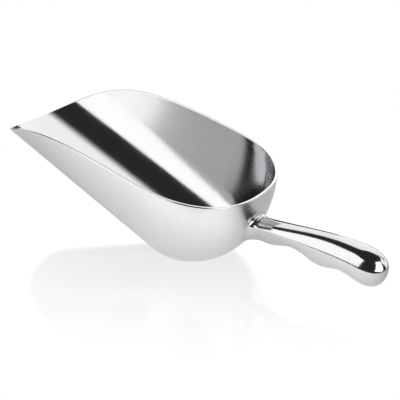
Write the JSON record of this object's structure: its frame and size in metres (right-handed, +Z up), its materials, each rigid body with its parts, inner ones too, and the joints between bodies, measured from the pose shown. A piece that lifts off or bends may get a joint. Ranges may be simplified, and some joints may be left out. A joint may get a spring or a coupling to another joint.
{
  "type": "ice scoop",
  "caption": "Round-bottomed polished metal scoop for ice, with a deep open trough, a mouth swept back from the lip and a solid finger-shaped handle flared into its back wall.",
  "frame": {"origin": "the middle of the small flat ground under the rear of the bowl, on the surface that the scoop stands on", "axes": "+Z up as the scoop stands; +X from the mouth to the handle's end; the scoop is symmetric about the XZ plane"},
  "size_m": [0.2687, 0.1002, 0.0751],
  "materials": {
    "bowl": "mirror polish inside, satin outside",
    "handle": "hand polished casting",
    "handle_fillet": "hand polished casting"
  },
  "bodies": {
    "root": {"bowl": "bowl", "handle": "handle", "handle_fillet": "handle_fillet"}
  },
  "joints": []
}
